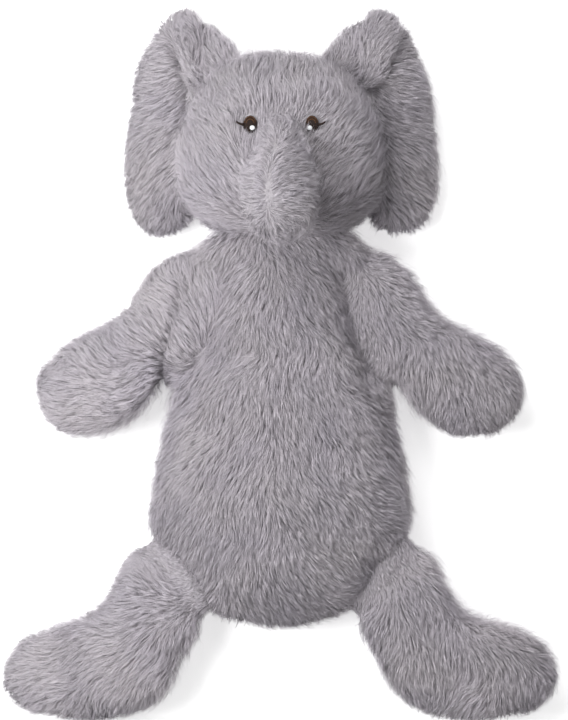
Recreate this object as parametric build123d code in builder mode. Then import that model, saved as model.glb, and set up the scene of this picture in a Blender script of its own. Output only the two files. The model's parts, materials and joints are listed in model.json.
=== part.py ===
"""Stuffed elephant of long-pile plush: domed panels sewn together over loose stuffing.

Units are millimetres. +Z runs from the soles to the ear tips, the face looks along -Y and the
toy's own left side is +X. The origin is on the floor plane of the soles, under the middle of the
whole depth. Every padded part is a pair of domed panels that meet in one flat seam plane, and
the parts are joined by straight hinge seams that lie in the same plane.
"""

import os
from math import cos, radians, sin

from build123d import *

os.makedirs("parts", exist_ok=True)

# ---- Driving dimensions -------------------------------------------------------------------
SEAM_Y = 29.0  # side seams of the head, body, arms and legs all lie in this plane
EAR_Y = SEAM_Y + 13.0  # the ear flaps hang behind the cheeks
EAR_ROOT_Y = SEAM_Y + 6.0  # where each ear is sewn to the corner of the head
PLEAT_Y = SEAM_Y + 2.5  # the fold at each ear's root stands in front of its flap
PLUSH = 3.0  # backing cloth with the dense foot of the pile
EASE = 0.4  # air between a panel and the stuffing that it holds

SEAM_R = 1.2  # rolled seam allowance that forms a fabric hinge
SEAM_GAP = 1.8  # from a hinge's line to the edge of the panels beside it
FOLD_SLOPE = 43.0  # degrees; panels beside a hinge rise no steeper, so that it folds square
FOLD_OVERRUN = 9.0  # how far that slope runs on past each end of the hinge
FOLD_REACH = 90.0  # larger than any panel's depth

# How a padded panel rises off its seam: (share of its depth, share of its outline)
CROWN = [(0.0, 1.0), (0.26, 0.955), (0.56, 0.86), (0.83, 0.68), (1.0, 0.40)]

BODY_FRONT, BODY_BACK = 25.0, 22.0  # depth of each panel at its crown
HEAD_FRONT, HEAD_BACK = 38.0, 22.0
ARM_FRONT, ARM_BACK = 14.0, 12.0
LEG_FRONT, LEG_BACK = 16.0, 14.0
EAR_DEPTH = 5.0
EAR_PLUSH = 2.6
EAR_BASE_DEPTH = 7.0
PLEAT_FRONT, PLEAT_BACK = 7.5, 3.5

# Hinge seams, each from its upper end to its lower end, as (x, z) on the toy's left side
SHOULDER = [(38.0, 262.0), (61.0, 186.0)]
HIP = [(75.5, 99.5), (41.0, 56.0)]
EAR_ROOT = [(45.0, 386.0), (45.0, 353.0)]
NECK_Z = 267.0
NECK_HALF = 30.0

# Outlines as (x, z). The symmetric ones give one half between their top and bottom points.
BODY_CENTRE = (0.0, 152.0)
BODY_TOP, BODY_BOTTOM = (0.0, 263.0), (0.0, 51.0)
BODY_HALF = [
    (24.0, 262.5),
    (34.8, 256.0),
    (47.2, 222.0),
    (59.0, 184.0),
    (67.0, 156.0),
    (72.0, 126.0),
    (72.5, 102.0),
    (57.0, 79.0),
    (40.0, 59.0),
    (22.0, 52.5),
]

HEAD_CENTRE = (0.0, 318.0)
HEAD_TOP, HEAD_BOTTOM = (0.0, 367.5), (0.0, 269.5)
HEAD_HALF = [
    (22.0, 364.5),
    (38.0, 353.5),
    (47.5, 340.0),
    (53.5, 321.0),
    (54.5, 301.0),
    (48.0, 284.0),
    (32.0, 272.0),
]

ARM_CENTRE = (89.0, 205.0)
ARM = [
    (43.0, 262.0),
    (57.5, 257.0),
    (75.5, 237.5),
    (99.0, 217.5),
    (120.0, 204.5),
    (132.0, 189.5),
    (132.0, 173.5),
    (122.0, 161.5),
    (106.0, 157.5),
    (90.0, 163.5),
    (76.0, 173.5),
    (63.5, 187.0),
]

LEG_CENTRE = (92.0, 40.0)
LEG = [
    (77.5, 98.0),
    (84.5, 81.0),
    (101.0, 58.0),
    (122.0, 49.5),
    (141.0, 40.5),
    (151.0, 25.5),
    (146.5, 9.5),
    (130.0, 1.5),
    (104.0, 0.0),
    (80.0, 5.0),
    (62.0, 20.0),
    (53.0, 38.0),
    (43.5, 54.0),
]

EAR_CENTRE = (69.0, 327.0)
EAR = [
    (55.5, 395.5),
    (66.0, 391.0),
    (75.0, 376.0),
    (82.5, 348.0),
    (86.5, 318.0),
    (87.0, 295.0),
    (82.0, 279.0),
    (71.0, 271.5),
    (58.0, 273.0),
    (50.0, 284.0),
    (49.5, 310.0),
    (48.5, 345.0),
    (48.5, 375.0),
    (49.0, 389.0),
]

EAR_BASE_CENTRE = (37.0, 367.0)
EAR_BASE = [
    (22.0, 366.0),
    (30.0, 376.0),
    (41.3, 386.5),
    (43.3, 370.5),
    (43.3, 352.5),
    (37.0, 357.0),
    (27.0, 361.5),
]

PLEAT_CENTRE = (53.0, 375.0)
PLEAT = [
    (47.2, 388.5),
    (53.0, 394.5),
    (61.0, 391.0),
    (62.0, 379.0),
    (57.0, 365.0),
    (50.0, 354.0),
    (47.0, 357.5),
    (46.8, 372.0),
]

# Trunk: elliptical sections along a line that leaves the brow and leans out as it goes down
TRUNK_STAND_OFF = 2.6  # from the face to the trunk's seam
TRUNK_ROOT_Y = SEAM_Y - HEAD_FRONT - TRUNK_STAND_OFF
TRUNK_ROOT_Z = 331.0
TRUNK_LEAN = 31.0  # degrees from straight down
TRUNK_SEAM_HALF = 5.0
# (distance from the root, half width, half depth)
TRUNK = [
    (2.4, 5.0, 1.2),
    (13.0, 10.0, 6.4),
    (32.0, 15.0, 14.0),
    (48.0, 18.0, 17.0),
    (60.0, 15.5, 14.0),
    (67.0, 9.0, 8.5),
    (70.0, 3.5, 3.2),
]
TRUNK_LEAST_DEPTH = 1.5  # times the cloth's thickness; flatter sections hold no stuffing

# Embroidered eyes, worked in raised satin stitch on the flat of the face
EYE_X, EYE_Z = 17.0, 330.0
EYE_HALF_W, EYE_HALF_H = 3.7, 4.8
EYE_Y = SEAM_Y - HEAD_FRONT  # the face is flat across both eyes
STITCH_GAP = 0.05  # between one layer of thread and the next
PUPIL_RELIEF = 2.2
PUPIL_EDGE_R = 0.8
ARC_THREAD_R = 0.4
ARC_SHARE = 0.62  # of the pupil's half width and half height
ARC_SPAN = 60.0  # degrees either side of the top
HIGHLIGHT_R = 1.3
HIGHLIGHT_RELIEF = 0.5
HIGHLIGHT_IN, HIGHLIGHT_DOWN = 1.2, 1.9  # from the pupil's centre
LASH_R = 0.6
LASH_SPAN, LASH_RISE = 3.4, 1.4
LASH_SAG = 0.5


# ---- Shared shapes ------------------------------------------------------------------------
def whole(top, half, bottom):
    """A closed outline, symmetric about x = 0, from one half of it."""
    return [top, *half, bottom, *[(-x, z) for x, z in reversed(half)]]


def mirrored(hinge):
    """The same hinge on the toy's right side."""
    return [(-x, z) for x, z in hinge]


def seam_sketch_plane(centre, y, front):
    """The seam plane at a part's centre, facing out of the front or the back of the toy."""
    origin = (centre[0], y, centre[1])
    if front:
        return Plane(origin=origin, x_dir=(1, 0, 0), z_dir=(0, -1, 0))
    return Plane(origin=origin, x_dir=(-1, 0, 0), z_dir=(0, 1, 0))


def fold_room(hinge, centre, y, front, inset):
    """The wedge beside a hinge seam that stays free so that the parts can fold together."""
    (upper_x, upper_z), (lower_x, lower_z) = hinge
    upper = Vector(upper_x, y, upper_z)
    along = (Vector(lower_x, y, lower_z) - upper).normalized()
    out = Vector(0, -1 if front else 1, 0)
    inward = along.cross(out)
    if inward.dot(Vector(centre[0], y, centre[1]) - upper) < 0:
        inward = -inward
    run = inward.cross(out)
    length = (Vector(lower_x, y, lower_z) - upper).length + 2 * FOLD_OVERRUN
    if run.dot(along) > 0:
        first = upper - along * FOLD_OVERRUN
    else:
        first = upper + along * (length - FOLD_OVERRUN)
    corner = first + inward * (SEAM_GAP + inset / sin(radians(FOLD_SLOPE)))
    rise = FOLD_REACH * sin(radians(FOLD_SLOPE))
    with BuildPart() as wedge:
        with BuildSketch(Plane(origin=corner, x_dir=inward, z_dir=run)):
            with BuildLine():
                slope_end = (FOLD_REACH * cos(radians(FOLD_SLOPE)), rise)
                Polyline((0, 0), slope_end, (-FOLD_REACH, rise), (-FOLD_REACH, 0), close=True)
            make_face()
        extrude(amount=length)
    return wedge.part


def pillow_half(shape, depth, front, inset=0.0):
    """Half a pillow: spline sections that shrink as they rise off the seam plane."""
    outline, centre, y, hinges = shape
    reach = min(((x - centre[0]) ** 2 + (z - centre[1]) ** 2) ** 0.5 for x, z in outline)
    side = 1 if front else -1
    plane = seam_sketch_plane(centre, y, front)
    with BuildPart() as half:
        for rise, share in CROWN:
            size = share * (1 - inset / reach)
            points = [(side * (x - centre[0]) * size, (z - centre[1]) * size) for x, z in outline]
            with BuildSketch(plane.offset(rise * (depth - inset))):
                with BuildLine():
                    Spline(*points, periodic=True)
                make_face()
        loft()
        for hinge in hinges:
            add(fold_room(hinge, centre, y, front, inset), mode=Mode.SUBTRACT)
    return half.part


def panel(shape, depth, front, cloth=PLUSH):
    """One plush panel: half a pillow with the room for the stuffing taken out."""
    outer = pillow_half(shape, depth, front)
    room = pillow_half(shape, depth, front, cloth)
    with BuildPart() as skin:
        add(outer)
        add(room, mode=Mode.SUBTRACT)
    return skin.part


def whole_pillow(shape, front_depth, back_depth, inset=0.0):
    """Both halves of a pillow as one solid."""
    front_half = pillow_half(shape, front_depth, True, inset)
    back_half = pillow_half(shape, back_depth, False, inset)
    with BuildPart() as pillow:
        add(front_half)
        add(back_half)
    return pillow.part


def stuffing(shape, front_depth, back_depth, cloth=PLUSH):
    """The wad that fills a pair of panels."""
    return whole_pillow(shape, front_depth, back_depth, cloth + EASE)


def folded_cloth(shape, front_depth, back_depth):
    """Plush folded on itself, with nothing between its layers."""
    return whole_pillow(shape, front_depth, back_depth)


def seam_roll(start, end):
    """The rolled seam allowance along a hinge, between two points."""
    run = Vector(*end) - Vector(*start)
    with BuildPart() as roll:
        with BuildSketch(Plane(origin=start, z_dir=run.normalized())):
            Circle(SEAM_R)
        extrude(amount=run.length)
    return roll.part


def save(part, name):
    part.label = name
    export_step(part, f"parts/{name}.step")


def save_both_sides(part, name):
    """Writes a piece of the toy's left side and its mirror image on the right."""
    save(part, f"left_{name}")
    save(mirror(part, about=Plane.YZ), f"right_{name}")


# ---- Body ---------------------------------------------------------------------------------
body_hinges = [SHOULDER, HIP, mirrored(SHOULDER), mirrored(HIP)]
body_shape = (whole(BODY_TOP, BODY_HALF, BODY_BOTTOM), BODY_CENTRE, SEAM_Y, body_hinges)
save(panel(body_shape, BODY_FRONT, True), "body_front_panel")
save(panel(body_shape, BODY_BACK, False), "body_back_panel")
save(stuffing(body_shape, BODY_FRONT, BODY_BACK), "body_stuffing")
save(seam_roll((-NECK_HALF, SEAM_Y, NECK_Z), (NECK_HALF, SEAM_Y, NECK_Z)), "neck_seam")

for seam_name, ((top_x, top_z), (low_x, low_z)) in (("shoulder_seam", SHOULDER), ("hip_seam", HIP)):
    save_both_sides(seam_roll((top_x, SEAM_Y, top_z), (low_x, SEAM_Y, low_z)), seam_name)

# ---- Arms and legs ------------------------------------------------------------------------
arm_shape = (ARM, ARM_CENTRE, SEAM_Y, [SHOULDER])
save_both_sides(panel(arm_shape, ARM_FRONT, True), "arm_front_panel")
save_both_sides(panel(arm_shape, ARM_BACK, False), "arm_back_panel")
save_both_sides(stuffing(arm_shape, ARM_FRONT, ARM_BACK), "arm_stuffing")

leg_shape = (LEG, LEG_CENTRE, SEAM_Y, [HIP])
save_both_sides(panel(leg_shape, LEG_FRONT, True), "leg_front_panel")
save_both_sides(panel(leg_shape, LEG_BACK, False), "leg_back_panel")
save_both_sides(stuffing(leg_shape, LEG_FRONT, LEG_BACK), "leg_stuffing")

# ---- Head ---------------------------------------------------------------------------------
head_shape = (whole(HEAD_TOP, HEAD_HALF, HEAD_BOTTOM), HEAD_CENTRE, SEAM_Y, [])
head_front = panel(head_shape, HEAD_FRONT, True)

with BuildPart() as left_head_panel:
    add(head_front)
    split(bisect_by=Plane.YZ, keep=Keep.TOP)
save_both_sides(left_head_panel.part, "head_front_panel")
save(panel(head_shape, HEAD_BACK, False), "head_back_panel")
save(stuffing(head_shape, HEAD_FRONT, HEAD_BACK), "head_stuffing")

# ---- Ears ---------------------------------------------------------------------------------
ear_shape = (EAR, EAR_CENTRE, EAR_Y, [EAR_ROOT])
save_both_sides(panel(ear_shape, EAR_DEPTH, True, EAR_PLUSH), "ear_front_panel")
save_both_sides(panel(ear_shape, EAR_DEPTH, False, EAR_PLUSH), "ear_back_panel")
save_both_sides(stuffing(ear_shape, EAR_DEPTH, EAR_DEPTH, EAR_PLUSH), "ear_wadding")

ear_base_shape = (EAR_BASE, EAR_BASE_CENTRE, EAR_ROOT_Y, [EAR_ROOT])
save_both_sides(folded_cloth(ear_base_shape, EAR_BASE_DEPTH, EAR_BASE_DEPTH), "ear_base")
pleat_shape = (PLEAT, PLEAT_CENTRE, PLEAT_Y, [EAR_ROOT])
save_both_sides(folded_cloth(pleat_shape, PLEAT_FRONT, PLEAT_BACK), "ear_pleat")

(root_top_x, root_top_z), (root_low_x, root_low_z) = EAR_ROOT
ear_root_top = (root_top_x, EAR_ROOT_Y, root_top_z)
save_both_sides(seam_roll(ear_root_top, (root_low_x, EAR_ROOT_Y, root_low_z)), "ear_seam")

# ---- Trunk --------------------------------------------------------------------------------
TRUNK_AXIS = Vector(0, -sin(radians(TRUNK_LEAN)), -cos(radians(TRUNK_LEAN)))


def trunk_solid(inset=0.0):
    """The trunk, or the room inside it, as a loft of ellipses along its leaning axis."""
    root = Vector(0, TRUNK_ROOT_Y, TRUNK_ROOT_Z)
    least = TRUNK_LEAST_DEPTH * inset
    sections = [(run, wide - inset, deep - inset) for run, wide, deep in TRUNK if deep > least]
    with BuildPart() as solid:
        for run, wide, deep in sections:
            with BuildSketch(Plane(origin=root + TRUNK_AXIS * run, x_dir=(1, 0, 0), z_dir=TRUNK_AXIS)):
                Ellipse(wide, deep)
        loft()
    return solid.part


trunk_outer = trunk_solid()
trunk_room = trunk_solid(PLUSH)

with BuildPart() as left_trunk_panel:
    add(trunk_outer)
    add(trunk_room, mode=Mode.SUBTRACT)
    split(bisect_by=Plane.YZ, keep=Keep.TOP)
save_both_sides(left_trunk_panel.part, "trunk_panel")
save(trunk_solid(PLUSH + EASE), "trunk_stuffing")
trunk_seam_start = (-TRUNK_SEAM_HALF, TRUNK_ROOT_Y, TRUNK_ROOT_Z)
save(seam_roll(trunk_seam_start, (TRUNK_SEAM_HALF, TRUNK_ROOT_Y, TRUNK_ROOT_Z)), "trunk_seam")

# ---- Eyes ---------------------------------------------------------------------------------
# Each eye's sketch plane has x towards the toy's left and y upwards, and faces the viewer.
face_plane = Plane(origin=(EYE_X, EYE_Y - STITCH_GAP, EYE_Z), x_dir=(1, 0, 0), z_dir=(0, -1, 0))
pupil_front = PUPIL_RELIEF + STITCH_GAP

with BuildPart() as pupil:
    with BuildSketch(face_plane):
        Ellipse(EYE_HALF_W, EYE_HALF_H)
    extrude(amount=PUPIL_RELIEF)
    fillet(pupil.faces().sort_by(Axis.Y)[0].edges(), PUPIL_EDGE_R)
save_both_sides(pupil.part, "eye_pupil")

with BuildPart() as eye_arc:
    with BuildLine(face_plane.offset(pupil_front + ARC_THREAD_R)) as arc_line:
        EllipticalCenterArc(
            (0, 0),
            ARC_SHARE * EYE_HALF_W,
            ARC_SHARE * EYE_HALF_H,
            start_angle=90 - ARC_SPAN,
            arc_size=2 * ARC_SPAN,
        )
    with BuildSketch(Plane(origin=arc_line.line @ 0, z_dir=arc_line.line % 0)):
        Circle(ARC_THREAD_R)
    sweep()
save_both_sides(eye_arc.part, "eye_arc")

with BuildPart() as highlight:
    with BuildSketch(face_plane.offset(pupil_front)):
        with Locations((-HIGHLIGHT_IN, -HIGHLIGHT_DOWN)):
            Circle(HIGHLIGHT_R)
    extrude(amount=HIGHLIGHT_RELIEF)
save_both_sides(highlight.part, "eye_highlight")

with BuildPart() as lash:
    with BuildLine(face_plane.offset(PUPIL_RELIEF - LASH_R)) as lash_line:
        lash_start = EYE_HALF_W + STITCH_GAP
        ThreePointArc(
            (lash_start, 0),
            (lash_start + LASH_SPAN / 2, LASH_RISE / 2 - LASH_SAG),
            (lash_start + LASH_SPAN, LASH_RISE),
        )
    with BuildSketch(Plane(origin=lash_line.line @ 0, z_dir=lash_line.line % 0)):
        Circle(LASH_R)
    sweep()
save_both_sides(lash.part, "eye_lash")
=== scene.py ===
"""Stuffed elephant: plush skins shaped by cloth, long-pile fur, embroidered eyes and a pale studio.

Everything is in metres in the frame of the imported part. The toy's own left is +X, it faces -Y.
"""

import json
from math import cos, pi, radians, sin

import bmesh
import bpy
import numpy as np
from mathutils import Matrix, Vector
from mathutils.bvhtree import BVHTree
from mathutils.kdtree import KDTree

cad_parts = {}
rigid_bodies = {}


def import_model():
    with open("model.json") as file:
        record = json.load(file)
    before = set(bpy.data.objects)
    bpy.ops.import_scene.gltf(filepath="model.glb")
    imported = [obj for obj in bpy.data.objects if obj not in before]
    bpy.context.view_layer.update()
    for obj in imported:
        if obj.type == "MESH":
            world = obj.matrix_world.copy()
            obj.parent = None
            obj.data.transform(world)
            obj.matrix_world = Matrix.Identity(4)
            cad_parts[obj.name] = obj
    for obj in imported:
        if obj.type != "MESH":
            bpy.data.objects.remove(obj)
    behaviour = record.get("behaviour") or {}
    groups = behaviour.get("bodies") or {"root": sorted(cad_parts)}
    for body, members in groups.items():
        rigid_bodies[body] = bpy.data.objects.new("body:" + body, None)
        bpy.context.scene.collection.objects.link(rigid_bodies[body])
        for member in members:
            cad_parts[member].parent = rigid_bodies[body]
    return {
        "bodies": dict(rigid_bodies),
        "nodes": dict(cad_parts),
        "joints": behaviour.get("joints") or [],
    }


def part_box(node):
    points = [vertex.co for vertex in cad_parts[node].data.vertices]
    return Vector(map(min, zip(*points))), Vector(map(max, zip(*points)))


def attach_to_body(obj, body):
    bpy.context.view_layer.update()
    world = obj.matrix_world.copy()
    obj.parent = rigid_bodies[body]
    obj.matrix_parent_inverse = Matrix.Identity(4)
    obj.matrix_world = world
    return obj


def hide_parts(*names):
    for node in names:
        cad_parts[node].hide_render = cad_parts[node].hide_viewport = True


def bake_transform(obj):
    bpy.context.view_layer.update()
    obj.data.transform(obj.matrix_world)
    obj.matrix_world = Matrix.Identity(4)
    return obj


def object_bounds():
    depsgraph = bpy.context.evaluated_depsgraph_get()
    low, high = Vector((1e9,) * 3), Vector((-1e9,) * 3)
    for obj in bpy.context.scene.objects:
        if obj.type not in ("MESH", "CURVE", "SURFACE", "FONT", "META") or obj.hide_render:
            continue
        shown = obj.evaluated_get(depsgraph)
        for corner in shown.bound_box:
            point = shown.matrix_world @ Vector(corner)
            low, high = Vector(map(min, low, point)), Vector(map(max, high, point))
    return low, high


MM = 0.001

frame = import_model()
cad_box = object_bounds()
joints = {joint["name"]: joint for joint in frame["joints"]}
scene = bpy.context.scene

# ---- Looks, in millimetres ------------------------------------------------------------------
SKIN_VOXEL = 4.0
CLOTH_STEPS = 20
CLOTH_PRESSURE = 4.0
INFLATE_CAP = 3.0  # how far the cloth may move from the sewn shape
LUMP_HEIGHT, LUMP_SIZE = 0.8, 42.0  # what loose stuffing makes under the cloth
PILE_LENGTH, SHORT_PILE = 11.0, 8.0
PILE_DENSITY = 2.0  # strands to the square millimetre
PILE_LIFT = 0.34  # a tip stands this share of its strand's length off the skin
EDGE_LIFT, STRAY_LIFT = 0.45, 0.5  # more lift at the silhouette, and there for stray strands
STRAND_WIDTH = 0.22
STRAND_ROOT_DEPTH = 0.6
LOCK_SPACING = 1.3
LOCK_RUFFLE, STRAND_RUFFLE, STRAY_RUFFLE = 0.2, 0.1, 0.5
PATCH = 28.0  # size of the patches in which the pile lies one way or is matted into locks
PATCH_TURN = 0.42  # how far a patch turns out of the flow
STRAY_SHARE = 0.1  # strands that stand off the rest
LEAST_KEEP = 0.05  # strands trimmed to less than this share are left out
STRANDS_PER_PIECE = 19000
UP = Vector((0, 0, 1))
SIDES = (("left", 1.0), ("right", -1.0))


# ---- Mesh helpers ---------------------------------------------------------------------------
def link(name, mesh):
    obj = bpy.data.objects.new(name, mesh)
    scene.collection.objects.link(obj)
    return obj


def apply_modifiers(obj):
    graph = bpy.context.evaluated_depsgraph_get()
    graph.update()
    mesh = bpy.data.meshes.new_from_object(obj.evaluated_get(graph))
    mesh.name = obj.name
    obj.modifiers.clear()
    obj.data = mesh


def points_of(mesh):
    flat = np.zeros(len(mesh.vertices) * 3, np.float32)
    mesh.vertices.foreach_get("co", flat)
    return flat.reshape(-1, 3).astype(float)


def normals_of(mesh):
    flat = np.zeros(len(mesh.vertices) * 3, np.float32)
    mesh.vertices.foreach_get("normal", flat)
    return flat.reshape(-1, 3)


def set_points(mesh, points):
    mesh.vertices.foreach_set("co", points.astype(np.float32).ravel())
    mesh.update()


def smooth_noise(points, size, seed):
    """Slow random variation over space, between -1 and 1: a few crossed sine waves."""
    draw = np.random.default_rng(seed)
    total = np.zeros(len(points))
    for _ in range(5):
        way = draw.normal(size=3)
        way /= np.linalg.norm(way)
        stretch = draw.uniform(0.7, 1.4)
        start = draw.uniform(0, 6.28)
        total += np.sin(points @ way * (2 * pi / (size * MM)) * stretch + start)
    return total / 3.0


# ---- Skins ----------------------------------------------------------------------------------
def join_nodes(name, nodes, shifts, pads):
    """One mesh from copies of CAD nodes, repeated at each shift, and of soft pads between them."""
    bm = bmesh.new()
    for centre, along, half_sizes in pads:
        turn = Vector(along).to_track_quat("Z", "Y").to_matrix().to_4x4()
        place = Matrix.Translation(centre) @ turn @ Matrix.Diagonal((*Vector(half_sizes) * MM, 1))
        bmesh.ops.create_icosphere(bm, subdivisions=4, radius=1.0, matrix=place)
    for shift in shifts:
        for node in nodes:
            before = len(bm.verts)
            bm.from_mesh(frame["nodes"][node].data)
            bm.verts.ensure_lookup_table()
            for vert in bm.verts[before:]:
                vert.co += Vector(shift) * MM
    mesh = bpy.data.meshes.new(name)
    bm.to_mesh(mesh)
    bm.free()
    return link(name, mesh)


def relax(obj, steps):
    modifier = obj.modifiers.new("relax", "SMOOTH")
    modifier.factor = 0.5
    modifier.iterations = steps


def voxel_skin(obj, voxel, relaxing):
    remesh = obj.modifiers.new("skin", "REMESH")
    remesh.mode = "VOXEL"
    remesh.voxel_size = voxel * MM
    relax(obj, relaxing)
    apply_modifiers(obj)


def inflate(obj):
    """Lets the skin swell like stuffed cloth, no further than the cap from where it was sewn."""
    before = points_of(obj.data)
    cloth = obj.modifiers.new("cloth", "CLOTH")
    cloth.settings.use_pressure = True
    cloth.settings.uniform_pressure_force = CLOTH_PRESSURE
    cloth.settings.effector_weights.gravity = 0
    cloth.settings.quality = 4
    cloth.settings.mass = 0.15
    cloth.settings.tension_stiffness = 15
    cloth.settings.compression_stiffness = 15
    cloth.settings.bending_stiffness = 0.3
    cloth.point_cache.frame_start = 1
    cloth.point_cache.frame_end = CLOTH_STEPS
    for step in range(1, CLOTH_STEPS + 1):
        scene.frame_set(step)
    apply_modifiers(obj)
    scene.frame_set(1)
    moved = points_of(obj.data) - before
    size = np.linalg.norm(moved, axis=1, keepdims=True)
    cap = INFLATE_CAP * MM
    moved *= np.minimum(1.0, cap / np.maximum(size, 1e-9))
    set_points(obj.data, before + moved)


def pad_out(obj, seed):
    """Soft lumps, as loose stuffing makes under cloth."""
    points = points_of(obj.data)
    swell = LUMP_HEIGHT * MM * smooth_noise(points, LUMP_SIZE, seed)
    set_points(obj.data, points + normals_of(obj.data) * swell[:, None])


def finish_skin(obj, material):
    """Smooths the swollen cloth, refines it once and gives it its material."""
    relax(obj, 2)
    finer = obj.modifiers.new("finer", "SUBSURF")
    finer.levels = 1
    finer.render_levels = 1
    apply_modifiers(obj)
    obj.data.polygons.foreach_set("use_smooth", np.ones(len(obj.data.polygons), bool))
    obj.data.materials.clear()
    obj.data.materials.append(material)


def make_skin(name, nodes, shifts=((0, 0, 0),), pads=(), voxel=SKIN_VOXEL, relaxing=4):
    """The cloth over some CAD nodes and pads. A pad is (centre, way along it, half sizes)."""
    skin = join_nodes(name, nodes, shifts, pads)
    voxel_skin(skin, voxel, relaxing)
    inflate(skin)
    pad_out(skin, len(name))
    finish_skin(skin, plush_ground)
    return skin


# ---- Materials ------------------------------------------------------------------------------
class Nodes:
    """A material being built: makes nodes and wires them by name."""

    def __init__(self, name):
        self.material = bpy.data.materials.new(name)
        self.material.use_nodes = True
        self.tree = self.material.node_tree
        self.surface = self.tree.nodes["Principled BSDF"]

    def add(self, kind, **settings):
        node = self.tree.nodes.new(kind)
        for key, value in settings.items():
            setattr(node, key, value)
        return node

    def wire(self, source, output, target, socket):
        self.tree.links.new(source.outputs[output], target.inputs[socket])

    def noise(self, scale, detail=3.0, coordinates="Object"):
        place = self.add("ShaderNodeTexCoord")
        noise = self.add("ShaderNodeTexNoise")
        noise.inputs["Scale"].default_value = scale
        noise.inputs["Detail"].default_value = detail
        self.wire(place, coordinates, noise, "Vector")
        return noise

    def ramp(self, source, output, stops):
        ramp = self.add("ShaderNodeValToRGB")
        elements = ramp.color_ramp.elements
        while len(elements) < len(stops):
            elements.new(0.5)
        for element, (position, colour) in zip(elements, stops):
            element.position = position
            element.color = (*colour, 1.0)
        self.wire(source, output, ramp, "Fac")
        return ramp

    def bump(self, source, output, strength, distance):
        bump = self.add("ShaderNodeBump")
        bump.inputs["Strength"].default_value = strength
        bump.inputs["Distance"].default_value = distance
        self.wire(source, output, bump, "Height")
        self.wire(bump, "Normal", self.surface, "Normal")

    def roughness(self, source, output, low, high):
        spread = self.add("ShaderNodeMapRange")
        spread.inputs["To Min"].default_value = low
        spread.inputs["To Max"].default_value = high
        self.wire(source, output, spread, "Value")
        self.wire(spread, "Result", self.surface, "Roughness")


def mixed(tools, blend, factor, first, second):
    """A colour mix of two sockets, given as (node, output)."""
    mix = tools.add("ShaderNodeMix", data_type="RGBA", blend_type=blend)
    mix.inputs["Factor"].default_value = factor
    tools.tree.links.new(first[0].outputs[first[1]], mix.inputs[6])
    tools.tree.links.new(second[0].outputs[second[1]], mix.inputs[7])
    return mix


# Pile colours from root to tip; the dark root is painted shade deep in the pile.
SHADED_FUR_ROOT = (0.42, 0.395, 0.42)
FUR_MIDDLE = (0.60, 0.57, 0.60)
FUR_TIP = (0.70, 0.67, 0.70)


def fur_material():
    """Soft pile: dark at the root as painted shade deep in the pile, pale at the tip, each lock a
    little different.
    """
    tools = Nodes("grey_pile")
    along = tools.add("ShaderNodeAttribute", attribute_name="along")
    tone = tools.add("ShaderNodeAttribute", attribute_name="tone")
    shade = tools.ramp(along, "Fac", [(0.0, SHADED_FUR_ROOT), (0.45, FUR_MIDDLE), (1.0, FUR_TIP)])
    tones = [(0.0, (0.84, 0.82, 0.85)), (0.5, (0.95, 0.94, 0.96)), (1.0, (1.08, 1.07, 1.08))]
    lock = tools.ramp(tone, "Fac", tones)
    colour = mixed(tools, "MULTIPLY", 1.0, (shade, "Color"), (lock, "Color"))
    patch = tools.noise(28.0, 2.0)
    wash = tools.ramp(patch, "Fac", [(0.3, (0.93, 0.92, 0.95)), (0.7, (1.06, 1.05, 1.04))])
    final = mixed(tools, "MULTIPLY", 1.0, (colour, 2), (wash, "Color"))
    tools.wire(final, 2, tools.surface, "Base Color")
    tools.roughness(tone, "Fac", 0.5, 0.75)
    grain = tools.noise(2500.0, 2.0)
    tools.bump(grain, "Fac", 0.25, 0.0002)
    tools.surface.inputs["Sheen Weight"].default_value = 0.25
    tools.surface.inputs["Sheen Roughness"].default_value = 0.5
    tools.surface.inputs["Specular IOR Level"].default_value = 0.25
    return tools.material


def backing_material():
    """The knitted ground of the plush, with the dense short foot of the pile, painted darker than the
    pile as the shade between strands and in creases.
    """
    tools = Nodes("plush_ground")
    fluff = tools.noise(900.0, 4.0)
    patch = tools.noise(60.0, 2.0)
    # painted shade: the ground is far darker than the pile, so gaps between strands and creases look
    # shaded
    base = tools.ramp(fluff, "Fac", [(0.3, (0.24, 0.225, 0.24)), (0.7, (0.38, 0.36, 0.38))])
    wash = tools.ramp(patch, "Fac", [(0.3, (0.88, 0.87, 0.9)), (0.7, (1.08, 1.07, 1.06))])
    final = mixed(tools, "MULTIPLY", 1.0, (base, "Color"), (wash, "Color"))
    tools.wire(final, 2, tools.surface, "Base Color")
    tools.roughness(fluff, "Fac", 0.8, 0.98)
    tools.bump(fluff, "Fac", 0.8, 0.0008)
    tools.surface.inputs["Sheen Weight"].default_value = 0.2
    return tools.material


def thread_material(name, dark, light, gloss):
    """Embroidery thread: fine twist lines along it and a satin sheen."""
    tools = Nodes(name)
    place = tools.add("ShaderNodeTexCoord")
    twist = tools.add("ShaderNodeTexWave", wave_type="BANDS", bands_direction="DIAGONAL")
    twist.inputs["Scale"].default_value = 900.0
    twist.inputs["Distortion"].default_value = 2.0
    tools.wire(place, "Object", twist, "Vector")
    colour = tools.ramp(twist, "Fac", [(0.1, dark), (0.9, light)])
    tools.wire(colour, "Color", tools.surface, "Base Color")
    tools.roughness(twist, "Fac", gloss, gloss + 0.2)
    tools.bump(twist, "Fac", 0.4, 0.0001)
    tools.surface.inputs["Specular IOR Level"].default_value = 0.25
    return tools.material


grey_pile = fur_material()
plush_ground = backing_material()
dark_thread = thread_material("dark_thread", (0.008, 0.004, 0.003), (0.030, 0.015, 0.011), 0.45)
golden_thread = thread_material("golden_thread", (0.11, 0.045, 0.012), (0.30, 0.13, 0.04), 0.4)
white_thread = thread_material("white_thread", (0.62, 0.64, 0.66), (0.95, 0.96, 0.97), 0.3)


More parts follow.
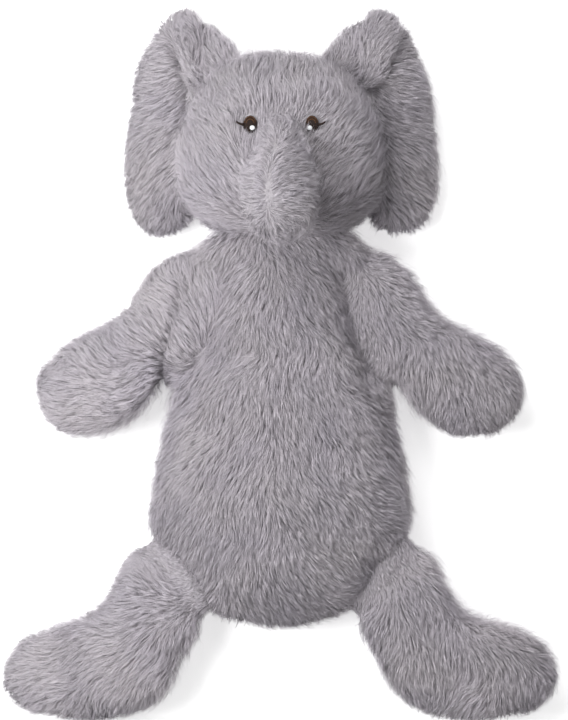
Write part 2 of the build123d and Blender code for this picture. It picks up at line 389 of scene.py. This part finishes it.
# ---- Hinges ---------------------------------------------------------------------------------
def hinge_of(name, centre):
    """A hinge's middle, and the way out from it towards the part's centre, across its axis."""
    joint = joints[name]
    middle = Vector(joint["pos_m"])
    axis = Vector(joint["axis"]).normalized()
    away = Vector(centre) - middle
    away -= axis * away.dot(axis)
    away.y = 0
    return middle, away.normalized()


def node_centre(*nodes):
    low = np.min([np.array(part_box(n)[0]) for n in nodes], axis=0)
    high = np.max([np.array(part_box(n)[1]) for n in nodes], axis=0)
    return Vector((low + high) / 2)


# ---- Fur ------------------------------------------------------------------------------------
def unit(vectors):
    return vectors / np.maximum(np.linalg.norm(vectors, axis=1, keepdims=True), 1e-12)


def scatter(mesh, density, draw):
    """Random places on a mesh, with their normals. Density is per square millimetre."""
    mesh.calc_loop_triangles()
    corners = np.zeros(len(mesh.loop_triangles) * 3, np.int32)
    mesh.loop_triangles.foreach_get("vertices", corners)
    corners = corners.reshape(-1, 3)
    normals = normals_of(mesh).astype(float)
    points = points_of(mesh)
    a, b, c = (points[corners[:, k]] for k in range(3))
    area = np.linalg.norm(np.cross(b - a, c - a), axis=1) / 2
    count = int(area.sum() / MM**2 * density)
    chosen = draw.choice(len(corners), count, p=area / area.sum())
    u = np.sqrt(draw.random(count))[:, None]
    v = draw.random(count)[:, None]
    shares = (1 - u, u * (1 - v), u * v)
    where = sum(share * points[corners[chosen, k]] for k, share in enumerate(shares))
    facing = sum(share * normals[corners[chosen, k]] for k, share in enumerate(shares))
    return where, unit(facing)


def lay_down(tree, points, height):
    """Moves points to a height above the nearest place on the skin, so that fur hugs it."""
    moved = np.array(points)
    for i, point in enumerate(points):
        place, normal, _, _ = tree.find_nearest(point)
        moved[i] = np.array(place) + np.array(normal) * height[i]
    return moved


STRAND_CORNERS = 7  # a triangle at the root, one at the bend and the tip
STRAND_FACES = [(0, 1, 2)]
for k in range(3):
    after = (k + 1) % 3
    STRAND_FACES += [(k, 3 + k, 3 + after), (k, 3 + after, after), (3 + k, 6, 3 + after)]
STRAND_FACES = np.array(STRAND_FACES)


def strand_mesh(name, root, middle, tip, side, up, width, tone):
    """Closed three-sided tapered strands, from root to tip through one bend."""
    count = len(root)
    half = (width / 2)[:, None]
    verts = []
    for centre, reach in ((root, half), (middle, half * 0.85)):
        verts += [centre + side * reach, centre + up * reach * 0.6, centre - side * reach]
    verts.append(tip)
    points = np.stack(verts, axis=1).reshape(-1, 3)
    first = np.arange(count)[:, None, None] * STRAND_CORNERS
    faces = (first + STRAND_FACES[None]).reshape(-1, 3)
    mesh = bpy.data.meshes.new(name)
    mesh.vertices.add(len(points))
    mesh.vertices.foreach_set("co", points.astype(np.float32).ravel())
    mesh.loops.add(faces.size)
    mesh.loops.foreach_set("vertex_index", faces.astype(np.int32).ravel())
    mesh.polygons.add(len(faces))
    mesh.polygons.foreach_set("loop_start", np.arange(0, faces.size, 3, dtype=np.int32))
    mesh.polygons.foreach_set("use_smooth", np.ones(len(faces), bool))
    mesh.update(calc_edges=True)
    add_values(mesh, "along", np.tile(np.array([0, 0, 0, 0.5, 0.5, 0.5, 1.0]), count))
    add_values(mesh, "tone", np.repeat(tone, STRAND_CORNERS))
    lay_out_uv(mesh, count)
    return mesh


def add_values(mesh, name, values):
    layer = mesh.attributes.new(name, "FLOAT", "POINT")
    layer.data.foreach_set("value", values.astype(np.float32))


def lay_out_uv(mesh, count):
    """One small cell of the unit square for each strand, root at the bottom and tip at the top."""
    across = int(np.ceil(np.sqrt(count)))
    cell = 1.0 / across
    inner_u = np.array([0.2, 0.5, 0.8, 0.2, 0.5, 0.8, 0.5])
    inner_v = np.array([0.15, 0.15, 0.15, 0.5, 0.5, 0.5, 0.85])
    column = (np.arange(count) % across) * cell
    row = (np.arange(count) // across) * cell
    corner = STRAND_FACES.ravel()
    u = column[:, None] + inner_u[corner][None] * cell
    v = row[:, None] + inner_v[corner][None] * cell
    layer = mesh.uv_layers.new(name="OFBake")
    layer.data.foreach_set("uv", np.stack([u, v], axis=2).astype(np.float32).ravel())


def surface_tree(mesh):
    return BVHTree.FromPolygons([v.co for v in mesh.vertices], [p.vertices for p in mesh.polygons])


def crease(skin, p, room):
    """How much of its length the pile keeps beside another skin, so that the darker ground shows there
    as painted shade in a crease.
    """
    tree = surface_tree(skin.data)
    gap = np.array([tree.find_nearest(Vector(place) * MM)[3] for place in p]) / MM
    return 0.3 + 0.7 * np.clip(gap / room, 0, 1)


class Locks:
    """The locks that the pile of one skin is gathered into."""

    def __init__(self, mesh, flow, length, draw):
        self.root, normal = scatter(mesh, 1.0 / LOCK_SPACING**2, draw)
        self.way = combed(self.root, normal, flow, draw, LOCK_RUFFLE)
        self.length = length * draw.uniform(0.85, 1.15, len(self.root))
        self.tone = draw.random(len(self.root))
        self.lift = PILE_LIFT * draw.uniform(0.6, 1.4, len(self.root))
        self.tip = self.root + self.way * (self.length * 0.95 * MM)[:, None]

    def nearest(self, places):
        near = KDTree(len(self.root))
        for i, place in enumerate(self.root):
            near.insert(place, i)
        near.balance()
        return np.array([near.find(place)[1] for place in places])


def grow_fur(name, skin, flow, attach, trim=None, seed=1, length=PILE_LENGTH):
    """Covers a skin with locks of pile that lie along the flow."""
    draw = np.random.default_rng(seed)
    tree = surface_tree(skin.data)
    locks = Locks(skin.data, flow, length, draw)

    root, normal = scatter(skin.data, PILE_DENSITY, draw)
    keep = trim(root / MM) if trim else np.ones(len(root))
    stay = keep > LEAST_KEEP
    root, normal, keep = root[stay], normal[stay], keep[stay]
    lock = locks.nearest(root)

    stray = draw.random(len(root)) < STRAY_SHARE
    ruffle = np.where(stray, STRAY_RUFFLE, STRAND_RUFFLE)[:, None]
    way = unit(combed(root, normal, flow, draw, ruffle) * 0.5 + locks.way[lock] * 0.5)
    matted = np.clip(0.5 + 0.9 * smooth_noise(root, PATCH, seed + 1), 0, 1)
    pull = ((0.06 + 0.42 * matted) * keep)[:, None]
    size = length * MM * keep * draw.uniform(0.75, 1.15, len(root)) * (locks.length[lock] / length)
    rise = size * locks.lift[lock] * draw.uniform(0.7, 1.3, len(root))
    rise *= 1 + (EDGE_LIFT + STRAY_LIFT * stray) * (1 - np.abs(normal[:, 1])) ** 2

    middle = lay_down(tree, root + way * (size * 0.42)[:, None], rise * 0.75)
    middle += (locks.root[lock] - root) * 0.12
    own_tip = root + way * (size * 0.93)[:, None]
    strands = {
        "middle": middle,
        "tip": lay_down(tree, own_tip * (1 - pull) + locks.tip[lock] * pull, rise),
        "root": root - normal * STRAND_ROOT_DEPTH * MM,
        "side": unit(np.cross(way, normal)),
        "up": normal,
        "width": STRAND_WIDTH * MM * draw.uniform(0.75, 1.25, len(root)),
        "tone": 0.45 * locks.tone[lock] + 0.55 * draw.random(len(root)),
    }
    plant(name, strands, attach)


def plant(name, strands, attach):
    """Makes the strands into pieces of limited size, from the lowest to the highest."""
    order = np.argsort(strands["root"][:, 2])
    pieces = int(np.ceil(len(order) / STRANDS_PER_PIECE))
    for number, share in enumerate(np.array_split(order, pieces)):
        label = f"{name}_{number + 1}" if pieces > 1 else name
        part = {key: values[share] for key, values in strands.items()}
        obj = link(label, strand_mesh(label, **part))
        obj.data.materials.append(grey_pile)
        attach(obj)


def combed(points, normals, flow, draw, spread):
    """The flow at each place, turned in patches, laid in the skin's surface and ruffled a little."""
    turn = [smooth_noise(points, PATCH, k) for k in (5, 6, 7)]
    way = unit(flow(points / MM)) + PATCH_TURN * np.stack(turn, axis=1)
    way += draw.normal(size=points.shape) * spread
    way -= normals * np.sum(way * normals, axis=1, keepdims=True)
    return unit(way)


def riding(body):
    return lambda obj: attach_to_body(obj, body)


def bending():
    """Bakes a piece's place into its mesh and puts it on no body."""
    return lambda obj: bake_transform(obj)


# ---- Body -----------------------------------------------------------------------------------
SEAM_Y = joints["neck_nod"]["pos_m"][1]
NECK_Z = joints["neck_nod"]["pos_m"][2]
NECK_BEND = 12.0  # pile that reaches higher than this below the neck's seam is put on no body
# Soft pads under the body's skin: how far below the neck's seam, and half sizes
NECK_PADS = [(-1, (43, 14, 13)), (10, (55, 14, 15))]
ARMPIT_DROP, ARMPIT_PAD = 47.0, (13, 13, 17)  # how far below the arm's hinge, and half sizes
BODY_HALF = 60.0
BODY_LEAN = {"left": 1.3, "right": 0.7}  # how much its pile leans out at the sides
TRUNK_ROOM = 12.0  # the chest's pile is shorter this near to the trunk, where the darker ground shows as the trunk's painted shadow


def body_pads():
    pads = []
    for drop, half_sizes in NECK_PADS:
        pads.append(((0, SEAM_Y, NECK_Z - drop * MM), UP, half_sizes))
    for side, sign in SIDES:
        x, _, z = joints[f"{side}_arm_fold"]["pos_m"]
        pads.append(((x + sign * MM, SEAM_Y, z - ARMPIT_DROP * MM), UP, ARMPIT_PAD))
    return pads


def body_flow(p):
    """Down the body, leaning out to both sides."""
    across = p[:, 0] / BODY_HALF
    lean = across * np.where(across > 0, BODY_LEAN["left"], BODY_LEAN["right"])
    lean += 0.5 * smooth_noise(p * MM, 110, 3)
    return np.stack([lean, 0 * lean, -np.ones(len(p))], axis=1)


def build_body(trunk):
    """The body's bag, which narrows into the short neck that the head nods on."""
    panels = ["body_front_panel", "body_back_panel"]
    skin = make_skin("body_skin", panels, pads=body_pads())
    nod = bending()
    nod(skin)
    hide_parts(*panels, "body_stuffing", "neck_seam")
    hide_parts("left_shoulder_seam", "right_shoulder_seam", "left_hip_seam", "right_hip_seam")

    def attach(pile):
        """The pile round the neck is put on no body; the rest rides on the torso."""
        if points_of(pile.data)[:, 2].max() > NECK_Z - NECK_BEND * MM:
            nod(pile)
        else:
            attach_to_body(pile, "torso")

    def trim(p):
        return crease(trunk, p, TRUNK_ROOM)

    grow_fur("body_pile", skin, body_flow, attach, trim=trim, seed=11)


# ---- Arms and legs --------------------------------------------------------------------------
PAD_IN = 4.0  # the pad that fills a limb's seam lies this far in from it
PILE_IN = 14.0  # how far in from the seam the limb's pile starts
CREASE_WIDTH = 7.0  # the pile is shorter over this width where a limb comes out of the body, so the darker ground shows there as painted crease shade
END_IN = 23.0  # a hand's or a foot's middle, in from its outer and its lower edge
ARM_PAD, LEG_PAD = (14, 13, 41), (11, 10, 28)  # half sizes across, deep and along the seam
LIMB_GROWTH = 2.5  # a limb's skin reaches this much further out than its panels
FAN_HALF = 24.0  # a limb's half width, over which the fanning grows to its full strength
# How the pile lies at the seam and at the end, how much it fans out, and how far the ridge that
# it fans out from lies above the limb's middle line
ARM_LIE = {
    "left": ((0.3, 0, -1), (0.3, 0, -1), 0.9, 9),
    "right": ((-0.6, 0, 0.8), (-1, 0, 0.15), 0.7, 0),
}
LEG_LIE = {
    "left": ((0.2, 0, -1), (0.3, 0, -1), 0.9, 9),
    "right": ((-1, 0, 0.1), (-1, 0, -0.45), 0.6, 0),
}


def build_limb(side, sign, part, pad, lie, crease_depth, seed):
    """An arm or a leg: a stuffed bag sewn to the body along a straight seam that it folds on."""
    nodes = [f"{side}_{part}_front_panel", f"{side}_{part}_back_panel"]
    middle, out = hinge_of(f"{side}_{part}_fold", node_centre(*nodes))
    along = joints[f"{side}_{part}_fold"]["axis"]
    pads = [(middle - out * PAD_IN * MM, along, pad)]
    shifts = ((0, 0, 0), (sign * LIMB_GROWTH, 0, 0))
    skin = make_skin(f"{side}_{part}_skin", nodes, shifts=shifts, pads=pads)
    attach = bending()
    attach(skin)
    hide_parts(*nodes, f"{side}_{part}_stuffing")
    low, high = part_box(nodes[0])
    outer = high.x if sign > 0 else low.x
    end = np.array((outer / MM - sign * END_IN, middle.y / MM, low.z / MM + END_IN))
    seam = np.array(middle) / MM

    def trim(p):
        """No pile on the part that lies under the body, and shorter pile where the limb comes out, so
        that the darker ground shows as painted crease shade.
        """
        beyond = (p - seam) @ np.array(out)
        grown = 1 - crease_depth * (1 - np.clip(beyond / CREASE_WIDTH, 0, 1))
        return np.where(beyond > -PILE_IN, grown, 0.0)

    grow_fur(f"{side}_{part}_pile", skin, limb_flow(seam, end, lie), attach, trim=trim, seed=seed)


def limb_flow(seam, end, lie):
    """Pile that turns from one lie at the seam to another at the end, fanning out from a ridge."""
    near, far, fan, ridge_up = lie
    length = np.linalg.norm(end - seam)
    along = (end - seam) / length

    def flow(p):
        reach = np.clip((p - seam) @ along / length, 0, 1)[:, None]
        ridge = seam + along * length * reach + np.array((0, 0, ridge_up))
        off = (p - ridge) * (1, 0, 1) / FAN_HALF
        return np.array(near) * (1 - reach) + np.array(far) * reach + off * fan

    return flow


# ---- Head -----------------------------------------------------------------------------------
EYE_CLEAR, EYE_FADE = 5.0, 11.0  # from an eye's centre: bare, and back to full pile
EYE_GUARD = {"left": 0.6, "right": 3.2}  # pile that grows to an eye stops this near its centre
FACE_BACK = 10.0  # the face lies in front of this y
CROWN_PAD, CROWN_DROP = (37, 22, 15), 14.0  # its half sizes, and how far below the top it lies
CHEEK_ROOM = 9.0  # the face's pile is shorter this near to the trunk, where the darker ground shows as painted shade in the crease
CHIN_FADE = 40.0  # and at the chin, where half of it is left
WHORL_Z = 268.0  # the face's pile radiates from this height
TRUNK_ROOT = Vector(joints["trunk_lift"]["pos_m"])
TRUNK_SHIFTS = ((0, 0, 0), (0, 5, 4), (0, -1, -2.5))  # reach back into the face and droop a little
TRUNK_PARTING = 7.0  # the parting of its pile wanders this far towards the toy's right


def round_eyes(p, way):
    """How much of its length the pile keeps round the eyes, so that none lies across them."""
    keep = np.ones(len(p))
    for side, _ in SIDES:
        eye = node_centre(f"{side}_eye_pupil") / MM
        to_eye = np.stack([(eye.x - p[:, 0]) * 1.15, eye.z - p[:, 2]], axis=1)
        gap = np.linalg.norm(to_eye, axis=1)
        towards = np.sum(to_eye * unit(way)[:, [0, 2]], axis=1) > 0
        grown = 0.35 + 0.65 * np.clip((gap - EYE_CLEAR) / (EYE_FADE - EYE_CLEAR), 0, 1)
        grown = np.where(towards, np.clip((gap - EYE_GUARD[side]) / PILE_LENGTH, 0, grown), grown)
        grown[gap < EYE_CLEAR] = 0
        keep = np.minimum(keep, np.where(p[:, 1] < FACE_BACK, grown, 1.0))
    return keep


def head_flow(p):
    """Away from the whorl at the front, and down at the back."""
    front = np.stack([p[:, 0] * 0.85, 0 * p[:, 0], p[:, 2] - WHORL_Z], axis=1)
    behind = np.stack([p[:, 0] / 90, 0 * p[:, 0], -np.ones(len(p))], axis=1)
    share = np.clip((p[:, 1] - SEAM_Y / MM) / 12 + 0.3, 0, 1)[:, None]
    way = unit(front + 1e-6) * (1 - share) + behind * share
    way[:, 0] += 0.25 * smooth_noise(p * MM, 70, 5)
    return way


def build_head(trunk):
    nodes = ["left_head_front_panel", "right_head_front_panel", "head_back_panel"]
    low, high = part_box(nodes[0])
    crown = Vector((0, SEAM_Y - 4 * MM, high.z - CROWN_DROP * MM))
    skin = make_skin("head_skin", nodes, pads=[(crown, UP, CROWN_PAD)])
    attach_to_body(skin, "head")
    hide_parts(*nodes, "head_stuffing")

    def trim(p):
        above_chin = np.clip(0.5 + (p[:, 2] - low.z / MM) / CHIN_FADE, 0, 1)
        beside_trunk = crease(trunk, p, CHEEK_ROOM)
        return np.minimum(np.minimum(beside_trunk, above_chin), round_eyes(p, head_flow(p)))

    grow_fur("head_pile", skin, head_flow, riding("head"), trim=trim, seed=21)


def build_trunk():
    nodes = ["left_trunk_panel", "right_trunk_panel"]
    skin = make_skin("trunk_skin", nodes, shifts=TRUNK_SHIFTS, voxel=3.0)
    attach = bending()
    attach(skin)
    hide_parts(*nodes, "trunk_stuffing", "trunk_seam")
    top, tip = TRUNK_ROOT.z / MM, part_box(nodes[0])[0].z / MM

    def flow(p):
        """Away from the parting to both sides, up near the root and down at the tip."""
        share = (p[:, 2] - tip) / (top - tip)
        parting = -TRUNK_PARTING * np.clip((1 - share) / 0.5, 0, 1)
        away = np.tanh((p[:, 0] - parting) / 1.5)
        rise = 1.5 * (share - 0.36) - 1.6 * np.clip(0.2 - share, 0, 0.2) / 0.2
        return np.stack([away * np.clip(1.5 - share, 0, 1), 0 * away, rise], axis=1)

    def trim(p):
        return round_eyes(p, flow(p))

    grow_fur("trunk_pile", skin, flow, attach, length=SHORT_PILE, trim=trim, seed=31)
    return skin


# ---- Ears -----------------------------------------------------------------------------------
PLEAT_WIDTH = {"left": 1.0, "right": 0.6}  # the right ear is folded less deeply at its root
EAR_LIFT = 3.0  # the flap's skin reaches this much higher than its panels
EAR_PAD = (12, 5, 42)  # half sizes of the pad behind the cheek
EAR_PAD_IN, EAR_PAD_FRONT, EAR_PAD_UP = 23, 2, 12  # its place from the flap's centre
EAR_VOXEL, ROOT_VOXEL = 2.2, 2.5
EAR_DROP_FROM, EAR_DROP_OVER = 375.0, 80.0  # its pile slants down more from this height on


def ear_flow(centre, reach, sign):
    """Outwards at the top, then slanting down, and fringing out all round the rim."""

    def flow(p):
        drop = np.clip((EAR_DROP_FROM - p[:, 2]) / EAR_DROP_OVER, 0, 1.2)
        out_x, out_z = ((p - centre) / reach)[:, [0, 2]].T
        rim = np.clip((np.hypot(out_x, out_z) - 0.75) / 0.25, 0, 1)
        lie_x = sign * (1 - 0.5 * drop) * (1 - rim) + out_x * rim * 1.2
        lie_z = -drop * (1 - rim) + out_z * rim * 1.2
        return np.stack([lie_x, 0 * drop, lie_z], axis=1)

    return flow


def narrow(skin, middle, out, share):
    """Draws everything beyond a hinge in towards it."""
    points = points_of(skin.data)
    beyond = np.maximum((points - np.array(middle)) @ np.array(out), 0)
    set_points(skin.data, points - beyond[:, None] * (1 - share) * np.array(out))


def build_ear(side, sign):
    """A floppy flap behind the cheek, with the folded root that stands in front of it."""
    flaps = [f"{side}_ear_front_panel", f"{side}_ear_back_panel"]
    centre = node_centre(*flaps)
    middle, out = hinge_of(f"{side}_ear_fold", centre)
    attach = bending()
    pad_x = centre.x - sign * EAR_PAD_IN * MM
    pad_at = Vector((pad_x, centre.y - EAR_PAD_FRONT * MM, centre.z + EAR_PAD_UP * MM))
    pads = [(pad_at, UP, EAR_PAD)]
    lifted = ((0, 0, 0), (0, 0, EAR_LIFT))
    skin = make_skin(f"{side}_ear_skin", flaps, shifts=lifted, pads=pads, voxel=EAR_VOXEL, relaxing=2)
    attach(skin)
    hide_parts(*flaps, f"{side}_ear_wadding", f"{side}_ear_seam")
    low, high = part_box(flaps[0])
    flow = ear_flow(np.array(centre) / MM, np.array(high - low) / 2 / MM, sign)
    grow_fur(f"{side}_ear_pile", skin, flow, attach, seed=41 + int(sign))
    build_ear_root(side, sign, middle, out, attach)


def build_ear_root(side, sign, middle, out, attach):
    """The base and the pleat, thickened into one soft fold, with pile that stands up and out."""
    nodes = [f"{side}_ear_base", f"{side}_ear_pleat"]
    shifts = ((0, 0, 2), (3 * sign, -1, 1), (-3 * sign, 1, -3))
    skin = make_skin(f"{side}_ear_root_skin", nodes, shifts=shifts, voxel=ROOT_VOXEL, relaxing=2)
    narrow(skin, middle, out, PLEAT_WIDTH[side])
    attach(skin)
    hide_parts(*nodes)

    def flow(p):
        return np.tile((sign * 0.6, 0.0, 0.8), (len(p), 1))

    grow_fur(f"{side}_ear_root_pile", skin, flow, attach, length=SHORT_PILE, seed=51 + int(sign))


# ---- Eyes -----------------------------------------------------------------------------------
def tube(bm, path, radii, sides=6):
    """A closed round thread along a path of points."""
    rings = []
    for i, (place, radius) in enumerate(zip(path, radii)):
        ahead = path[min(i + 1, len(path) - 1)] - path[max(i - 1, 0)]
        ahead.normalize()
        across = ahead.cross(Vector((0, 1, 0)))
        if across.length < 1e-6:
            across = Vector((1, 0, 0))
        across.normalize()
        over = ahead.cross(across)
        ring = []
        for k in range(sides):
            angle = 2 * pi * k / sides
            ring.append(bm.verts.new(place + (across * cos(angle) + over * sin(angle)) * radius))
        rings.append(ring)
    for low, high in zip(rings, rings[1:]):
        for k in range(sides):
            after = (k + 1) % sides
            bm.faces.new((low[k], low[after], high[after], high[k]))
    bm.faces.new(list(reversed(rings[0])))
    bm.faces.new(rings[-1])


def thread_piece(name, threads, material, node):
    """Threads sewn side by side as one piece that stands for a CAD node."""
    bm = bmesh.new()
    for path, radii in threads:
        tube(bm, path, radii)
    bmesh.ops.recalc_face_normals(bm, faces=bm.faces)
    mesh = bpy.data.meshes.new(name)
    bm.to_mesh(mesh)
    bm.free()
    mesh.polygons.foreach_set("use_smooth", np.ones(len(mesh.polygons), bool))
    mesh.materials.append(material)
    obj = link(name, mesh)
    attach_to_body(obj, "head")
    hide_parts(node)


def on_pad(oval, x, z):
    """A place on a padded oval (seat, half width, half height, relief), x and z from -1 to 1."""
    seat, half_wide, half_high, relief = oval
    crown = relief * np.sqrt(max(0.0, 1 - 0.8 * (x * x + z * z)))
    return Vector((seat.x + x * half_wide, seat.y - crown, seat.z + z * half_high))


def satin_patch(oval, count, thread):
    """Stitches laid side by side over a padded oval, each a thread from edge to edge."""
    threads = []
    for i in range(count):
        x = -1 + 2 * (i + 0.5) / count
        reach = np.sqrt(1 - x * x)
        path = [on_pad(oval, x, t * reach) for t in np.linspace(-1, 1, 9)]
        threads.append((path, [thread * (0.75 if k in (0, 8) else 1.0) for k in range(9)]))
    return threads


PUPIL_THREAD, UNDER_THREAD, GOLD_THREAD, WHITE_THREAD = 0.36, 0.55, 0.1, 0.28  # radii
LASH_THREAD = 0.8  # radius at its root
GOLD_ARCS = (0.9, 0.62)  # how far out on the pupil, where 1 is its edge
GOLD_HALF_TURN = 75.0  # degrees to each side of the top


def build_pupil(side):
    """Satin stitches over a layer of thicker ones, and the golden arcs on them."""
    low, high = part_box(f"{side}_eye_pupil")
    centre, half = (low + high) / 2, (high - low) / 2
    seat = Vector((centre.x, high.y, centre.z))
    relief = high.y - low.y
    top = (seat, half.x, half.z, relief)
    under = (seat + Vector((0, 0.5 * MM, 0)), half.x, half.z, relief)
    pupil = satin_patch(top, 13, PUPIL_THREAD * MM) + satin_patch(under, 8, UNDER_THREAD * MM)
    thread_piece(f"{side}_eye_satin", pupil, dark_thread, f"{side}_eye_pupil")

    golds = []
    for share in GOLD_ARCS:
        path = []
        for angle in np.linspace(radians(90 - GOLD_HALF_TURN), radians(90 + GOLD_HALF_TURN), 15):
            path.append(on_pad(top, cos(angle) * share, sin(angle) * share) - Vector((0, 0.3 * MM, 0)))
        golds.append((path, [GOLD_THREAD * MM] * len(path)))
    thread_piece(f"{side}_eye_gold", golds, golden_thread, f"{side}_eye_arc")


def build_highlight(side):
    low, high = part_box(f"{side}_eye_highlight")
    seat = Vector(((low.x + high.x) / 2, high.y + 0.3 * MM, (low.z + high.z) / 2))
    radius = (high.x - low.x) / 2
    white = satin_patch((seat, radius, radius, 0.9 * MM), 6, WHITE_THREAD * MM)
    thread_piece(f"{side}_eye_glint", white, white_thread, f"{side}_eye_highlight")


def build_lash(side, sign):
    """One stroke that starts at the eye's outer corner and curls up."""
    low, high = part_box(f"{side}_eye_lash")
    near, far = (low.x, high.x) if sign > 0 else (high.x, low.x)
    path = []
    for t in np.linspace(0, 1, 9):
        rise = low.z + 0.6 * MM + (high.z - low.z - 0.8 * MM) * (t**2.2)
        path.append(Vector((near + (far - near) * t, (low.y + high.y) / 2 - 0.6 * MM, rise)))
    stroke = [(path, [LASH_THREAD * MM * (1 - 0.4 * k / 8) for k in range(9)])]
    thread_piece(f"{side}_eye_lash_stitch", stroke, dark_thread, f"{side}_eye_lash")


# ---- Stage ----------------------------------------------------------------------------------
def paper_material():
    """Plain pale paper. Only the camera sees it, and only from its front."""
    tools = Nodes("pale_paper")
    fibre = tools.noise(60.0, 4.0)
    shade = tools.ramp(fibre, "Fac", [(0.3, (0.93, 0.93, 0.93)), (0.7, (0.95, 0.95, 0.95))])
    tools.wire(shade, "Color", tools.surface, "Base Color")
    tools.roughness(fibre, "Fac", 0.85, 0.95)
    tools.surface.inputs["Emission Color"].default_value = (1, 1, 1, 1)
    tools.surface.inputs["Emission Strength"].default_value = 0.5
    rays = tools.add("ShaderNodeLightPath")
    geometry = tools.add("ShaderNodeNewGeometry")
    front = tools.add("ShaderNodeMath", operation="SUBTRACT")
    tools.wire(rays, "Is Camera Ray", front, 0)
    tools.wire(geometry, "Backfacing", front, 1)
    clear = tools.add("ShaderNodeBsdfTransparent")
    choose = tools.add("ShaderNodeMixShader")
    tools.wire(front, "Value", choose, "Fac")
    tools.wire(clear, "BSDF", choose, 1)
    tools.wire(tools.surface, "BSDF", choose, 2)
    tools.wire(choose, "Shader", tools.tree.nodes["Material Output"], "Surface")
    return tools.material


PAPER_REACH = 3.0  # metres to each side, towards the camera and up
FLOOR_BELOW, WALL_BEHIND, PAPER_BEND = 6.0, 4.0, 4.0  # from the CAD box, and the bend's radius
SWING_ROOM = 1.15  # the backdrop moves back by this much of what a swung body needs


def build_stage():
    """A floor that curves up into a backdrop close behind the toy."""
    floor_z = -FLOOR_BELOW * MM
    wall_y = cad_box[1][1] + WALL_BEHIND * MM
    bend = PAPER_BEND * MM
    profile = [(-PAPER_REACH, floor_z)]
    for k in range(9):
        angle = radians(90 * k / 8)
        profile.append((wall_y - bend + bend * sin(angle), floor_z + bend - bend * cos(angle)))
    profile.append((wall_y, PAPER_REACH))
    bm = bmesh.new()
    rows = [[bm.verts.new((x, y, z)) for y, z in profile] for x in (-PAPER_REACH, PAPER_REACH)]
    for k in range(len(profile) - 1):
        bm.faces.new((rows[0][k], rows[1][k], rows[1][k + 1], rows[0][k + 1]))
    mesh = bpy.data.meshes.new("paper_sweep")
    bm.to_mesh(mesh)
    bm.free()
    mesh.materials.append(paper_material())
    sweep = link("paper_sweep", mesh)
    keep_behind(sweep, swing_markers())


def swing_markers():
    """Empties that ride on the far ends of the moving bodies, level with the toy's back at rest."""
    markers = []
    for name, joint in joints.items():
        body = frame["bodies"][joint["child"]]
        centre = node_centre(*[node for node, obj in frame["nodes"].items() if obj.parent is body])
        middle, out = hinge_of(name, centre)
        end = middle + out * 2 * (centre - middle).dot(out)
        marker = link(f"{name}_end", None)
        marker.location = (end.x, cad_box[1][1], end.z)
        markers.append(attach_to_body(marker, joint["child"]))
    return markers


def keep_behind(sweep, markers):
    """Moves the backdrop back when a body swings back past it, so that it never hides one."""
    driver = sweep.driver_add("location", 1).driver
    rest = f"{cad_box[1][1]:.6f}"
    places = [rest]
    for number, marker in enumerate(markers):
        variable = driver.variables.new()
        variable.name = f"end_{number}"
        variable.type = "TRANSFORMS"
        variable.targets[0].id = marker
        variable.targets[0].transform_type = "LOC_Y"
        variable.targets[0].transform_space = "WORLD_SPACE"
        places.append(variable.name)
    driver.expression = f"(max({', '.join(places)}) - {rest}) * {SWING_ROOM}"


# Each light's name, place in metres, size in metres and power in watts
LIGHTS = [
    ("key", (-0.6, -0.74, 0.23), 0.5, 10),
    ("top", (-0.5, -1.2, 1.5), 0.8, 17),
    ("rear", (1.1, 1.5, 1.0), 1.4, 34),
]
LIGHT_AIM = (0, 0, 0.2)
SKY_LIGHT = 0.43  # the sky's strength; the camera sees it as plain white


def area_light(name, place, size, power):
    light = bpy.data.lights.new(name, "AREA")
    light.size = size
    light.energy = power
    lamp = bpy.data.objects.new(name, light)
    lamp.location = place
    lamp.rotation_euler = (Vector(LIGHT_AIM) - Vector(place)).to_track_quat("-Z", "Y").to_euler()
    scene.collection.objects.link(lamp)


def build_lights():
    for name, place, size, power in LIGHTS:
        area_light(name, place, size, power)
    world = bpy.data.worlds.new("studio")
    world.use_nodes = True
    sky = world.node_tree.nodes["Background"]
    sky.inputs["Color"].default_value = (1, 1, 1, 1)
    seen = world.node_tree.nodes.new("ShaderNodeLightPath")
    strength = world.node_tree.nodes.new("ShaderNodeMapRange")
    strength.inputs["To Min"].default_value = SKY_LIGHT
    world.node_tree.links.new(seen.outputs["Is Camera Ray"], strength.inputs["Value"])
    world.node_tree.links.new(strength.outputs["Result"], sky.inputs["Strength"])
    scene.world = world
    scene.view_settings.view_transform = "Standard"


CAMERA_DISTANCE = 2.0  # metres from the face
VIEW_HEIGHT, VIEW_CENTRE = 402.3, (1.7, 200.0)  # what the picture spans, and its middle's x and z
FACE_DEPTH = 15.0  # the face lies this far in front of the seams


def build_camera():
    """A long lens straight on to the face, framing the toy from its soles to its ear tips."""
    data = bpy.data.cameras.new("camera")
    data.sensor_fit = "VERTICAL"
    data.sensor_height = 24
    data.lens = data.sensor_height * CAMERA_DISTANCE / (VIEW_HEIGHT * MM)
    camera = bpy.data.objects.new("camera", data)
    x, z = VIEW_CENTRE
    camera.location = (x * MM, SEAM_Y - FACE_DEPTH * MM - CAMERA_DISTANCE, z * MM)
    camera.rotation_euler = (radians(90), 0, 0)
    scene.collection.objects.link(camera)
    scene.camera = camera


# ---- The whole toy --------------------------------------------------------------------------
trunk_skin = build_trunk()
build_head(trunk_skin)
build_body(trunk_skin)
for side, sign in SIDES:
    build_limb(side, sign, "arm", ARM_PAD, ARM_LIE[side], 0.25 + 0.25 * sign, 61 + int(sign))
    build_limb(side, sign, "leg", LEG_PAD, LEG_LIE[side], 0.7, 71 + int(sign))
    build_ear(side, sign)
    build_pupil(side)
    build_highlight(side)
    build_lash(side, sign)
build_stage()
build_lights()
build_camera()
